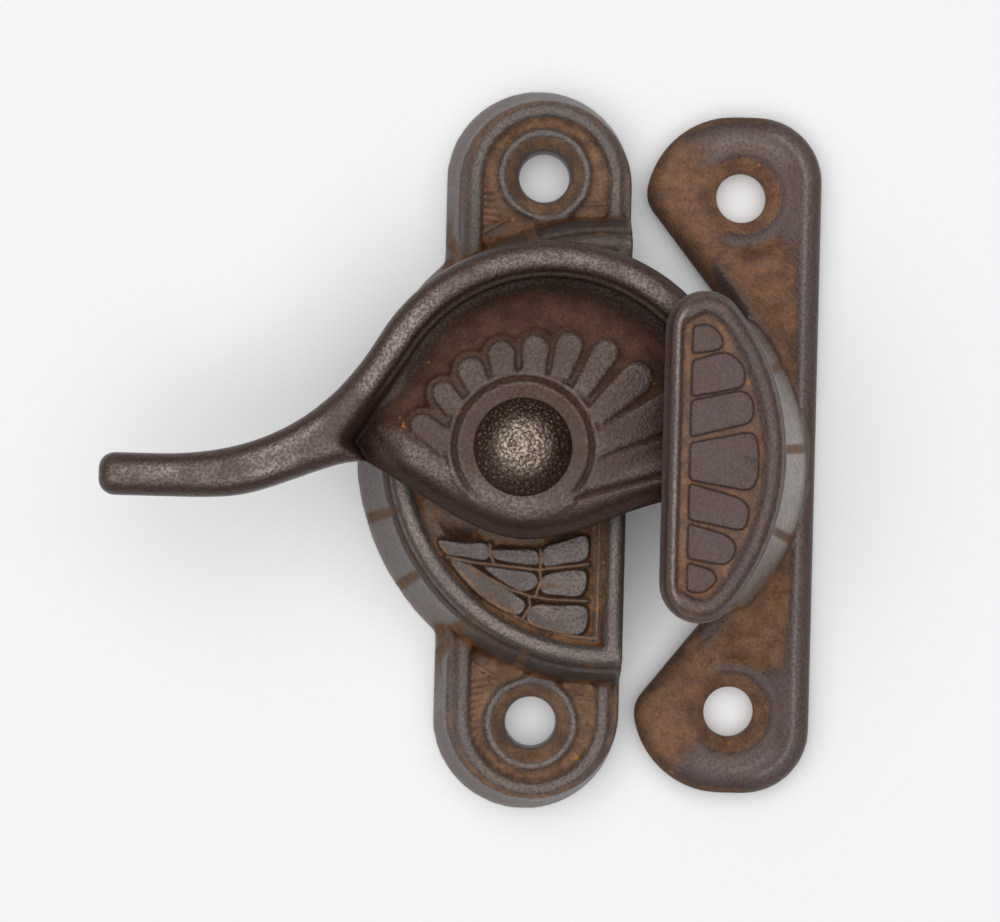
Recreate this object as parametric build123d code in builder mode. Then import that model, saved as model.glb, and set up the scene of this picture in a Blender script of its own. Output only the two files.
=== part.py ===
from build123d import *
import os
from math import cos, radians, sin, sqrt, tan

os.makedirs("parts", exist_ok=True)

# Sash lock with its keeper, millimetres. The origin is midway between the base's screw holes,
# on the face that lies on the sash. +X points to the keeper, +Z away from the sash.

# Screw holes of both plates, for a flat-headed wood screw
screw_hole_r = 2.45
countersink_r = 3.9
countersink_angle = 82
screw_boss_r = 5.4

# Base: two screw tabs, and a half-round drum with an upright face towards the keeper
screw_from_drum = 2.35
tab_end_reach = 8.7
base_face_x = 8.45
tab_width = 18.05
tab_height = 3.9
tab_shoulder = 0.95
tab_bead_width = 1.2
tab_bead_shift = 0.6
tab_bead_height = 0.5
tab_recess = 0.7
screw_ring_r = 4.5
skirt_draft = 20.5
drum_x = 6.3
drum_foot_r = 24.0
drum_wall_height = 7.6
drum_step = 0.7
drum_bead_width = 2.0
drum_bead_height = 9.2
drum_panel_height = 8.45
face_bead_width = 1.9
casting_wall = 2.2
tab_hollow = 2.0

# Pivot: rivet, cam and spring below the drum's top plate
pivot_x = -1.5
seat_r = 7.2
seat_height = 9.6
rivet_r = 2.5
bore_clearance = 0.05
rivet_head_r = 4.65
rivet_head_height = 2.7
tenon_width = 3.5
cam_width = 7.0
cam_thickness = 2.4
cam_clearance = 0.2
cam_ear_reach = 7.2
cam_ear_width = 3.0
cam_corner_gap = 0.25
stop_gap = 0.1
stop_width = 2.2
washer_r = 3.6
washer_thickness = 0.8
peened_end_r = 3.0
peened_end_height = 0.9
spring_length = 24.0
spring_thickness = 0.6
spring_width = 2.2
spring_gap = 0.05
lug_length = 3.0
lug_wall = 1.3
lug_slot_gap = 0.1

# Lever: an eccentric rim that hooks into the keeper, its web and hub, and the handle
lever_travel = 90
lever_gap = 0.1
rim_shift_x = 2.5
rim_shift_y = 0.7
rim_outer_r = 18.6
rim_width = 3.55
rim_height = 5.5
rim_round = 1.5
rim_end_angle = -17
handle_turn = 60
handle_width = 4.0
handle_drop = 3.45
handle_bend_x = -35.4
handle_tip_x = -40.8
handle_tip_round = 1.5
web_thickness = 2.0
hub_r = 6.6
hub_height = 3.5
hub_skirt_r = 11.0
border_width = 2.2
border_height = 2.9
# Lower edge of the web from the crotch under the handle to the leading end of the rim
crotch = (-16.2, -1.7)
belly_points = [(-9.6, -5.5), (-1.2, -8.6), (6.3, -6.7), (11.9, -4.7)]
handle_under_points = [(-19.4, -2.3), (-26.0, -4.7)]
# Pointed end of the dish, between the rim and the lower edge
dish_corner = (-17.3, 0.2)
dish_corner_wall = 0.9

# Keeper: a plate with two screw lobes, and a hood whose cap hooks over the lever's rim
keeper_hole_spacing = 49.9
keeper_hole_inset = 7.8
keeper_end_reach = 7.85
keeper_skirt = 1.2
keeper_plate = 3.2
keeper_edge_round = 1.2
keeper_corner_r = 6.4
meeting_gap = 1.55
lobe_r = 8.4
lobe_tip_round = 3.0
waist_width = 9.1
waist_length = 28.8
hood_y = -1.2
hood_foot_r = 20.2
hood_foot_wall = 3.2
hood_foot_corner = 2.0
hood_top_wall = 2.0
cap_overhang = 8.5
cap_flange = 0.45
cap_flange_height = 1.3
cap_height = 2.3
cap_arc_r = 20.6
cap_corner_r = 3.2
cap_panel_r = 1.9
cap_round = 0.8
cap_rim_width = 1.7
cap_recess = 0.6
rim_side_gap = 0.5
rim_top_gap = 0.6
throat_flare = 2.4
lip_side_gap = 0.9
lip_setback = 0.5
lip_depth = 2.8

# Heights that follow from the stack of pieces
top_plate_under = drum_panel_height - casting_wall
lever_bottom = seat_height + lever_gap
rim_top = lever_bottom + rim_height
hub_top = lever_bottom + hub_height
cap_under = rim_top + rim_top_gap
cap_flange_top = cap_under + cap_flange_height
cap_top = cap_flange_top + cap_height
cam_top = top_plate_under - cam_clearance
cam_bottom = cam_top - cam_thickness
washer_bottom = cam_bottom - washer_thickness
pivot_axis = Axis((pivot_x, 0, 0), (0, 0, 1))
upright = (0, -1, 0)


def hole_pair(spacing):
    return [(0, spacing / 2), (0, -spacing / 2)]


# Base cavity: the room under the drum's top plate, cut from the casting further down
drum_slope = tan(radians(skirt_draft))
drum_top_r = drum_foot_r - drum_wall_height * drum_slope
cavity_foot_r = drum_foot_r - casting_wall
with BuildPart() as drum_cavity:
    with BuildSketch(Plane((drum_x, 0, 0), x_dir=(1, 0, 0), z_dir=upright)):
        with BuildLine():
            Polyline(
                (0, 0),
                (cavity_foot_r, 0),
                (cavity_foot_r - top_plate_under * drum_slope, top_plate_under),
                (0, top_plate_under),
                close=True,
            )
        make_face()
    revolve(axis=Axis((drum_x, 0, 0), (0, 0, 1)))
    split(bisect_by=Plane.YZ.offset(base_face_x - casting_wall), keep=Keep.BOTTOM)

# Base casting
base_hole_spacing = 2 * (drum_foot_r + screw_from_drum)
base_length = base_hole_spacing + 2 * tab_end_reach
tab_run = tab_height * drum_slope
tab_top_width = tab_width - tab_run
tab_bead_r = tab_top_width / 2 - tab_shoulder
tab_end_r = tab_bead_r - tab_bead_width
tab_top = tab_height + tab_bead_height
tab_recess_x = base_face_x - tab_top_width / 2
tab_bead_y = base_length / 2 - tab_run - tab_top_width / 2 + tab_bead_shift
bead_outer_r = drum_top_r - drum_step
bead_inner_r = bead_outer_r - drum_bead_width
bead_mid_r = (bead_outer_r + bead_inner_r) / 2
spring_x = pivot_x - cam_width / 2 - spring_gap - spring_thickness / 2
spring_z = (cam_top + cam_bottom) / 2
lug_width = spring_thickness + 2 * (lug_slot_gap + lug_wall)
lug_y = spring_length / 2 - lug_length / 2 + lug_slot_gap
stop_start = cam_width / sqrt(2) + cam_corner_gap
stop_length = cam_ear_reach - stop_start
stop_offset = cam_ear_width / 2 + stop_gap + stop_width / 2
with BuildPart() as base:
    # Screw tabs: one drafted bar with round ends, upright on the keeper's side
    with BuildSketch():
        with Locations((base_face_x - tab_width / 2, 0)):
            SlotOverall(base_length, tab_width, rotation=90)
    with BuildSketch(Plane.XY.offset(tab_height)):
        with Locations((base_face_x - tab_top_width / 2, 0)):
            SlotOverall(base_length - 2 * tab_run, tab_top_width, rotation=90)
    loft(ruled=True)
    # Bead along the tabs' edge and a sunk panel inside it, with a ring left round each screw
    with BuildSketch(Plane.XY.offset(tab_height)):
        with Locations((tab_recess_x, 0)):
            SlotOverall(2 * (tab_bead_y + tab_bead_r), 2 * tab_bead_r, rotation=90)
    extrude(amount=tab_bead_height)
    with BuildSketch(Plane.XY.offset(tab_top)):
        with Locations((tab_recess_x, 0)):
            SlotOverall(2 * (tab_bead_y + tab_end_r), 2 * tab_end_r, rotation=90)
        with Locations(*hole_pair(base_hole_spacing)):
            Circle(screw_ring_r, mode=Mode.SUBTRACT)
    extrude(amount=-tab_recess, mode=Mode.SUBTRACT)
    # Drum with its sloping skirt, step and round bead
    with BuildSketch(Plane((drum_x, 0, 0), x_dir=(1, 0, 0), z_dir=upright)):
        with BuildLine():
            Polyline((bead_inner_r, drum_panel_height), (0, drum_panel_height), (0, 0), (drum_foot_r, 0))
            Polyline((drum_foot_r, 0), (drum_top_r, drum_wall_height), (bead_outer_r, drum_wall_height))
            ThreePointArc(
                (bead_outer_r, drum_wall_height),
                (bead_mid_r, drum_bead_height),
                (bead_inner_r, drum_panel_height),
            )
        make_face()
    revolve(axis=Axis((drum_x, 0, 0), (0, 0, 1)))
    split(bisect_by=Plane.YZ.offset(base_face_x), keep=Keep.BOTTOM)
    # Straight bead along the upright face
    with BuildSketch(Plane((base_face_x, 0, 0), x_dir=(1, 0, 0), z_dir=upright)):
        with BuildLine():
            Polyline((0, drum_wall_height), (-face_bead_width, drum_wall_height))
            Line((-face_bead_width, drum_wall_height), (-face_bead_width, drum_panel_height))
            ThreePointArc(
                (-face_bead_width, drum_panel_height),
                (-face_bead_width / 2, drum_bead_height),
                (0, drum_panel_height),
            )
            Line((0, drum_panel_height), (0, drum_wall_height))
        make_face()
    extrude(amount=bead_mid_r, both=True)
    # Round seat that the lever turns on
    with BuildSketch(Plane.XY.offset(drum_wall_height)):
        with Locations((pivot_x, 0)):
            Circle(seat_r)
    extrude(amount=seat_height - drum_wall_height)
    # Hollow underside, with a boss left round each screw
    add(drum_cavity.part, mode=Mode.SUBTRACT)
    with BuildSketch():
        with Locations((base_face_x - tab_width / 2, 0)):
            SlotOverall(base_length - 2 * casting_wall, tab_width - 2 * casting_wall, rotation=90)
        with Locations(*hole_pair(base_hole_spacing)):
            Circle(screw_boss_r, mode=Mode.SUBTRACT)
    extrude(amount=tab_hollow, mode=Mode.SUBTRACT)
    # Slotted lugs that hold the ends of the leaf spring
    with BuildSketch(Plane.XY.offset(top_plate_under)):
        with Locations((spring_x, lug_y), (spring_x, -lug_y)):
            Rectangle(lug_width, lug_length)
    extrude(amount=-(top_plate_under - cam_bottom))
    with BuildSketch(Plane.XY.offset(cam_bottom)):
        with Locations((spring_x, 0)):
            Rectangle(spring_thickness + 2 * lug_slot_gap, spring_length + 2 * lug_slot_gap)
    extrude(amount=spring_z + spring_width / 2 + lug_slot_gap - cam_bottom, mode=Mode.SUBTRACT)
    # Stops that the cam's ear meets when the lever is locked and when it is open
    for side in (-1, 1):
        turn = radians(side * lever_travel / 2)
        stop_plane = Plane((pivot_x, 0, top_plate_under), x_dir=(cos(turn), sin(turn), 0), z_dir=(0, 0, 1))
        with BuildSketch(stop_plane):
            with Locations((stop_start + stop_length / 2, side * stop_offset)):
                Rectangle(stop_length, stop_width)
        extrude(amount=-(top_plate_under - cam_bottom))
    # Pivot bore and countersunk screw holes
    with Locations((pivot_x, 0, seat_height)):
        Hole(rivet_r + bore_clearance)
    with Locations(*[(x, y, tab_top) for x, y in hole_pair(base_hole_spacing)]):
        CounterSinkHole(screw_hole_r, countersink_r, counter_sink_angle=countersink_angle)
base.part.label = "base"
export_step(base.part, "parts/base.step")

# Lever outline points
rim_x = pivot_x + rim_shift_x
rim_y = rim_shift_y
rim_inner_r = rim_outer_r - rim_width
rim_mid_r = rim_outer_r - rim_width / 2
rim_start_angle = 90 + handle_turn
handle_top_y = -handle_drop + handle_width / 2
handle_under_y = -handle_drop - handle_width / 2
dish_back = (dish_corner[0] - dish_corner_wall, dish_corner[1])


def on_rim(radius, angle):
    return (rim_x + radius * cos(radians(angle)), rim_y + radius * sin(radians(angle)))


# Web of the lever: its outline cut from a shallow turned dish that rises to the hub
with BuildPart() as web:
    with BuildSketch(Plane.XY.offset(lever_bottom)):
        with BuildLine():
            CenterArc((rim_x, rim_y), rim_mid_r, rim_end_angle, rim_start_angle - rim_end_angle)
            Polyline(on_rim(rim_mid_r, rim_start_angle), dish_back, crotch)
            Spline(crotch, *belly_points, on_rim(rim_mid_r, rim_end_angle))
        make_face()
    extrude(amount=rim_height)
    with BuildSketch(Plane((pivot_x, 0, lever_bottom), x_dir=(1, 0, 0), z_dir=upright)):
        dish_reach = rim_outer_r + rim_shift_x + rim_shift_y
        with BuildLine():
            Polyline(
                (0, 0),
                (dish_reach, 0),
                (dish_reach, web_thickness),
                (hub_skirt_r, web_thickness),
                (hub_r, hub_height),
                (0, hub_height),
                close=True,
            )
        make_face()
    revolve(axis=pivot_axis, mode=Mode.INTERSECT)

# Lever casting
nose_angle = rim_end_angle - rim_width / 2 / radians(1) / rim_mid_r
with BuildPart() as lever:
    # Rim and handle in one raised bar
    with BuildSketch(Plane.XY.offset(lever_bottom)):
        with BuildLine():
            Spline(
                (handle_bend_x, handle_top_y),
                on_rim(rim_outer_r, rim_start_angle),
                tangents=[(1, 0), (cos(radians(handle_turn)), sin(radians(handle_turn)))],
            )
            CenterArc((rim_x, rim_y), rim_outer_r, rim_end_angle, rim_start_angle - rim_end_angle)
            ThreePointArc(
                on_rim(rim_outer_r, rim_end_angle),
                on_rim(rim_mid_r, nose_angle),
                on_rim(rim_inner_r, rim_end_angle),
            )
            CenterArc((rim_x, rim_y), rim_inner_r, rim_end_angle, rim_start_angle - rim_end_angle)
            Polyline(on_rim(rim_inner_r, rim_start_angle), dish_corner, crotch)
            Spline(crotch, *handle_under_points, (handle_bend_x, handle_under_y), tangents=[(-1, 0), (-1, 0)])
            Polyline(
                (handle_bend_x, handle_under_y),
                (handle_tip_x, handle_under_y),
                (handle_tip_x, handle_top_y),
                (handle_bend_x, handle_top_y),
            )
        make_face()
    extrude(amount=rim_height)
    tip_corners = lever.edges().filter_by(Axis.Z).group_by(Axis.X)[0]
    fillet(tip_corners, handle_tip_round)
    fillet(lever.faces().sort_by(Axis.Z)[-1].edges(), rim_round)
    add(web.part)
    # Raised border along the lower edge of the web
    with BuildSketch(Plane.XY.offset(lever_bottom)):
        with BuildLine():
            lower_edge = Spline(crotch, *belly_points, on_rim(rim_mid_r, rim_end_angle))
            upper_points = [dish_back] + [(x, y + border_width) for x, y in belly_points]
            border_end = on_rim(rim_mid_r, rim_end_angle)
            upper_edge = Spline(*upper_points, (border_end[0], border_end[1] + border_width))
            Line(lower_edge @ 0, upper_edge @ 0)
            Line(lower_edge @ 1, upper_edge @ 1)
        make_face()
    extrude(amount=border_height)
    with Locations((pivot_x, 0, hub_top)):
        Hole(rivet_r)
lever.part.label = "lever"
export_step(lever.part, "parts/lever.step")

# Rivet that holds the lever to the base: domed head, round shank, square tenon and peened end
with BuildPart() as rivet:
    with BuildSketch(Plane((pivot_x, 0, 0), x_dir=(1, 0, 0), z_dir=upright)):
        with BuildLine():
            Polyline((0, cam_top), (rivet_r, cam_top), (rivet_r, hub_top), (rivet_head_r, hub_top))
            dome_r = (rivet_head_r**2 + rivet_head_height**2) / (2 * rivet_head_height)
            RadiusArc((rivet_head_r, hub_top), (0, hub_top + rivet_head_height), -dome_r)
            Line((0, hub_top + rivet_head_height), (0, cam_top))
        make_face()
    revolve(axis=pivot_axis)
    with BuildSketch(Plane.XY.offset(cam_top)):
        with Locations((pivot_x, 0)):
            Rectangle(tenon_width, tenon_width)
    extrude(amount=washer_bottom - cam_top)
    with Locations((pivot_x, 0, washer_bottom)):
        Cylinder(peened_end_r, peened_end_height, align=(Align.CENTER, Align.CENTER, Align.MAX))
    fillet(rivet.edges().group_by(Axis.Z)[0], peened_end_height / 2)
rivet.part.label = "pivot_rivet"
export_step(rivet.part, "parts/pivot_rivet.step")

# Square cam on the rivet's tenon: its flats rest on the spring, its ear meets the stops
with BuildPart() as cam:
    with BuildSketch(Plane.XY.offset(cam_bottom)):
        with Locations((pivot_x, 0)):
            Rectangle(cam_width, cam_width)
        with Locations(Location((pivot_x, 0), -lever_travel / 2)):
            Rectangle(cam_ear_reach, cam_ear_width, align=(Align.MIN, Align.CENTER))
        with Locations((pivot_x, 0)):
            Rectangle(tenon_width, tenon_width, mode=Mode.SUBTRACT)
    extrude(amount=cam_thickness)
cam.part.label = "detent_cam"
export_step(cam.part, "parts/detent_cam.step")

# Washer under the rivet's peened end
with BuildPart() as washer:
    with BuildSketch(Plane.XY.offset(washer_bottom)):
        with Locations((pivot_x, 0)):
            Circle(washer_r)
            Circle(rivet_r, mode=Mode.SUBTRACT)
    extrude(amount=washer_thickness)
washer.part.label = "rivet_washer"
export_step(washer.part, "parts/rivet_washer.step")

# Flat leaf spring that presses on the cam and clicks it into its two places
with BuildPart() as spring:
    with Locations((spring_x, 0, spring_z)):
        Box(spring_thickness, spring_length, spring_width)
    fillet(spring.edges().filter_by(Axis.X), spring_width / 4)
spring.part.label = "leaf_spring"
export_step(spring.part, "parts/leaf_spring.step")

# Keeper: the room under the cap, wide enough for the rim through its whole swing
throat_top_r = rim_outer_r + sqrt(rim_shift_x**2 + rim_shift_y**2) + rim_side_gap
throat_foot_r = throat_top_r + throat_flare
with BuildPart() as throat:
    with BuildSketch(Plane((pivot_x, 0, 0), x_dir=(1, 0, 0), z_dir=upright)):
        with BuildLine():
            Polyline((0, 0), (throat_foot_r, 0), (throat_top_r, cap_under), (0, cap_under), close=True)
        make_face()
    revolve(axis=pivot_axis)

# Keeper casting, placed from the room that the rim needs
hood_foot_face = pivot_x + throat_foot_r + hood_foot_wall
hood_foot_x = hood_foot_face - hood_foot_r
cap_arc_x = pivot_x + throat_top_r + hood_top_wall - cap_arc_r
cap_chord_x = pivot_x + throat_top_r - cap_overhang
keeper_face_x = hood_foot_face + keeper_skirt
keeper_hole_x = keeper_face_x - keeper_hole_inset
keeper_top_y = keeper_hole_spacing / 2 + keeper_end_reach
corner_x = keeper_face_x - keeper_corner_r
corner_y = keeper_top_y - keeper_corner_r
lobe_x = base_face_x + meeting_gap + lobe_r
lobe_y = keeper_top_y - lobe_r
waist_x = keeper_face_x - waist_width
waist_y = waist_length / 2


def half_disc(centre_x, radius, chord_x):
    with Locations((centre_x, hood_y)):
        Circle(radius)
    with Locations((chord_x, hood_y)):
        Rectangle(3 * radius, 3 * radius, align=(Align.MAX, Align.CENTER), mode=Mode.SUBTRACT)


with BuildPart() as keeper:
    with BuildSketch():
        with BuildLine():
            Line((keeper_face_x, 0), (keeper_face_x, corner_y))
            CenterArc((corner_x, corner_y), keeper_corner_r, 0, 90)
            Line((corner_x, keeper_top_y), (lobe_x, keeper_top_y))
            CenterArc((lobe_x, lobe_y), lobe_r, 90, 90)
            Polyline((lobe_x - lobe_r, lobe_y), (waist_x, waist_y), (waist_x, 0))
            mirror(about=Plane.XZ)
        make_face()
    extrude(amount=keeper_plate)
    fillet(keeper.edges().filter_by(Axis.Z).group_by(Axis.X)[0], lobe_tip_round)
    fillet(keeper.faces().sort_by(Axis.Z)[-1].edges(), keeper_edge_round)
    # Hood: a half-round wall that leans in towards the cap
    with BuildSketch():
        half_disc(hood_foot_x, hood_foot_r, waist_x)
        fillet(vertices(), hood_foot_corner)
    with BuildSketch(Plane.XY.offset(cap_under)):
        half_disc(cap_arc_x, cap_arc_r, cap_chord_x)
        fillet(vertices(), cap_corner_r)
    loft(ruled=True)
    add(throat.part, mode=Mode.SUBTRACT)
    # Cap: a flange, then a thick plate with a sunk panel
    with BuildSketch(Plane.XY.offset(cap_under)):
        half_disc(cap_arc_x, cap_arc_r, cap_chord_x)
        fillet(vertices(), cap_corner_r)
        offset(amount=cap_flange)
    extrude(amount=cap_flange_height)
    with BuildSketch(Plane.XY.offset(cap_flange_top)):
        half_disc(cap_arc_x, cap_arc_r, cap_chord_x)
        fillet(vertices(), cap_corner_r)
    extrude(amount=cap_height)
    fillet(keeper.faces().sort_by(Axis.Z)[-1].edges(), cap_round)
    with BuildSketch(Plane.XY.offset(cap_top)):
        half_disc(cap_arc_x, cap_arc_r - cap_rim_width, cap_chord_x + cap_rim_width)
        fillet(vertices(), cap_panel_r)
    extrude(amount=-cap_recess, mode=Mode.SUBTRACT)
    # Hooked lip that hangs inside the lever's rim
    with BuildSketch(Plane.XY.offset(cap_under)):
        with Locations((pivot_x, 0)):
            Circle(throat_top_r - rim_side_gap - rim_width - lip_side_gap)
        with Locations((cap_chord_x + lip_setback, 0)):
            Rectangle(3 * hood_foot_r, 3 * hood_foot_r, align=(Align.MAX, Align.CENTER), mode=Mode.SUBTRACT)
    extrude(amount=-lip_depth)
    with Locations(*[(keeper_hole_x, y, keeper_plate) for _, y in hole_pair(keeper_hole_spacing)]):
        CounterSinkHole(screw_hole_r, countersink_r, counter_sink_angle=countersink_angle)
keeper.part.label = "keeper"
export_step(keeper.part, "parts/keeper.step")
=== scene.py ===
import math
from types import SimpleNamespace
import bpy
import numpy as np
from mathutils import Matrix, Vector, noise
from mathutils.kdtree import KDTree


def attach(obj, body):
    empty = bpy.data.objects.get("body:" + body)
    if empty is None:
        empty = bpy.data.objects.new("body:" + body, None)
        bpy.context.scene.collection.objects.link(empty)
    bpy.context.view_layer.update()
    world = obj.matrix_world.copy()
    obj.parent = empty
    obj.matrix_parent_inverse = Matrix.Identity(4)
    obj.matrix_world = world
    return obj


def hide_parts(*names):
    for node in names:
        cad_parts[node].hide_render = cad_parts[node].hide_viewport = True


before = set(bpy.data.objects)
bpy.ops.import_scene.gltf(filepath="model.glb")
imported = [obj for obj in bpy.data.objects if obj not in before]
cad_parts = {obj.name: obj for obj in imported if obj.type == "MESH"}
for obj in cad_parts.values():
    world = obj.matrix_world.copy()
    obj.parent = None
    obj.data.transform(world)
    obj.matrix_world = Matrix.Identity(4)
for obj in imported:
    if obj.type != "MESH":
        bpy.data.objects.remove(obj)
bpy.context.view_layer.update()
scene = bpy.context.scene
toMillimetres = 1000.0
bench = {"weld": 0.003, "facingDown": -0.99, "flatDown": -0.995, "levelSlack": 0.02, "hold": 0.4}
print("frame loaded:", sorted(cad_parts))


# bench tools: everything is shaped in millimetres and brought to metres at the end

def own(values):
    return SimpleNamespace(**values)


def setMode(mode):
    bpy.ops.object.mode_set(mode=mode)


def selectAll(action="SELECT"):
    bpy.ops.mesh.select_all(action=action)


def pick(*objs):
    if bpy.context.object and bpy.context.object.mode != "OBJECT":
        setMode("OBJECT")
    bpy.ops.object.select_all(action="DESELECT")
    for obj in objs:
        obj.select_set(True)
    if objs:
        bpy.context.view_layer.objects.active = objs[-1]


def place(name, data):
    obj = bpy.data.objects.new(name, data)
    scene.collection.objects.link(obj)
    return obj


def castingCopy(nodeName, pieceName):
    piece = place(pieceName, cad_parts[nodeName].data.copy())
    piece.data.materials.clear()
    piece.data.transform(Matrix.Scale(toMillimetres, 4))
    pick(piece)
    setMode("EDIT")
    selectAll()
    bpy.ops.mesh.remove_doubles(threshold=bench["weld"])
    setMode("OBJECT")
    return piece


def applyModifier(obj, kind, **settings):
    pick(obj)
    modifier = obj.modifiers.new(kind.lower(), kind)
    for key, value in settings.items():
        setattr(modifier, key, value)
    bpy.ops.object.modifier_apply(modifier=modifier.name)


def melt(obj, voxel, smoothSteps):
    # one closed skin over all that overlaps, with softened corners, as a sand casting has
    applyModifier(obj, "REMESH", mode="VOXEL", voxel_size=voxel)
    applyModifier(obj, "SMOOTH", factor=0.5, iterations=smoothSteps)


def joinInto(obj, extras):
    pick(*extras, obj)
    bpy.ops.object.join()


def pad(outline, low, top, edgeRound, heightAt):
    # a raised cell on the given outline, with its top edge rounded over and its height set spot by spot
    pick()
    bpy.ops.mesh.primitive_circle_add(vertices=len(outline), radius=1.0, fill_type="NGON")
    cell = bpy.context.object
    for vertex, (x, y) in zip(cell.data.vertices, outline):
        vertex.co = (x, y, low)
    setMode("EDIT")
    selectAll()
    bpy.ops.mesh.extrude_region_move(TRANSFORM_OT_translate={"value": (0, 0, top - low)})
    bpy.ops.mesh.region_to_loop()
    bpy.ops.mesh.bevel(offset=edgeRound, segments=3, affect="EDGES")
    selectAll()
    bpy.ops.mesh.normals_make_consistent(inside=False)
    setMode("OBJECT")
    for vertex in cell.data.vertices:
        if vertex.co.z > low + bench["weld"]:
            vertex.co.z += heightAt(vertex.co.x, vertex.co.y) - top
    return cell


def smoothLoop(points, steps=6):
    # closed curve through a few corner points
    knots = [np.array(p, float) for p in points]
    count = len(knots)
    loop = []
    for i in range(count):
        a, b, c, d = (knots[(i + k - 1) % count] for k in range(4))
        for s in range(steps):
            t = s / steps
            spot = 0.5 * (2 * b + (c - a) * t + (2 * a - 5 * b + 4 * c - d) * t**2
                          + (3 * b - a - 3 * c + d) * t**3)
            loop.append((spot[0], spot[1]))
    return loop


def roundedLoop(corners, radii, steps=4):
    # straight sided outline with its corners rounded over
    loop = []
    count = len(corners)
    for i in range(count):
        before, here, after = (Vector(corners[(i + k - 1) % count]) for k in range(3))
        start = here + (before - here).normalized() * min(radii[i], (before - here).length * 0.45)
        end = here + (after - here).normalized() * min(radii[i], (after - here).length * 0.45)
        for s in range(steps + 1):
            t = s / steps
            spot = start * (1 - t) ** 2 + here * 2 * t * (1 - t) + end * t**2
            loop.append((spot.x, spot.y))
    return loop


def tongueOutline(root, tip, rootWidth, tipWidth, arcSteps=10):
    # square at the root, round at the tip
    root = Vector(root)
    along = (Vector(tip) - root).normalized()
    across = Vector((-along.y, along.x))
    centre = Vector(tip) - along * tipWidth / 2
    outline = [root - across * rootWidth / 2]
    for i in range(arcSteps + 1):
        turn = -math.pi / 2 + math.pi * i / arcSteps
        outline.append(centre + (along * math.cos(turn) + across * math.sin(turn)) * tipWidth / 2)
    outline.append(root + across * rootWidth / 2)
    return [(p.x, p.y) for p in outline]


def readAll(items, name, width=3, kind=float):
    values = np.empty(len(items) * width, kind)
    items.foreach_get(name, values)
    return values.reshape(-1, width)


def surfaceOf(obj):
    return readAll(obj.data.vertices, "co"), readAll(obj.data.vertices, "normal")


def relaxed(spots, edges, rounds):
    count = len(spots)
    ends = np.concatenate([edges[:, 0], edges[:, 1]])
    others = np.concatenate([edges[:, 1], edges[:, 0]])
    share = np.maximum(np.bincount(ends, minlength=count), 1)
    now = spots.copy()
    for _ in range(rounds):
        for axis in range(3):
            mean = np.bincount(ends, now[others, axis], count) / share
            now[:, axis] = bench["hold"] * now[:, axis] + (1 - bench["hold"]) * mean
    return now


def paintAttribute(obj, name, values):
    layer = obj.data.attributes.new(name, "FLOAT", "POINT")
    layer.data.foreach_set("value", np.asarray(values, np.float32))


def reliefMaps(obj, fineRounds=8, broadRounds=90):
    # how far each spot stands out from, or lies below, its smoothed surroundings, in millimetres
    spots, normals = surfaceOf(obj)
    edges = readAll(obj.data.edges, "vertices", 2, np.int64)
    fine = relaxed(spots, edges, fineRounds)
    broad = relaxed(fine, edges, broadRounds)
    return {
        "edge": np.einsum("ij,ij->i", spots - fine, normals),
        "relief": np.einsum("ij,ij->i", fine - broad, normals),
    }


def thinOut(obj, maps, triangles):
    # fewer faces where the skin is plain, with the maps for wear, rust, painted shade and painted highlight
    # carried over
    spots = surfaceOf(obj)[0]
    tree = KDTree(len(spots))
    for i, spot in enumerate(spots):
        tree.insert(spot, i)
    tree.balance()
    total = sum(len(p.vertices) - 2 for p in obj.data.polygons)
    if total > triangles:
        applyModifier(obj, "DECIMATE", ratio=triangles / total)
    nearest = [tree.find(v.co)[1] for v in obj.data.vertices]
    for name, values in maps.items():
        paintAttribute(obj, name, values[nearest])


def finishPiece(obj, body, slot, finish, *nodes):
    pick(obj)
    obj.data.transform(Matrix.Scale(1 / toMillimetres, 4))
    bpy.ops.object.shade_smooth()
    for face in obj.data.polygons:
        if face.normal.z < bench["flatDown"]:
            face.use_smooth = False  # plain flat undersides
    obj.data.materials.clear()
    obj.data.materials.append(finish)
    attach(obj, body)
    if nodes:
        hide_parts(*nodes)
    print("finished", obj.name, len(obj.data.polygons), "faces")


# finishes

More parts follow.
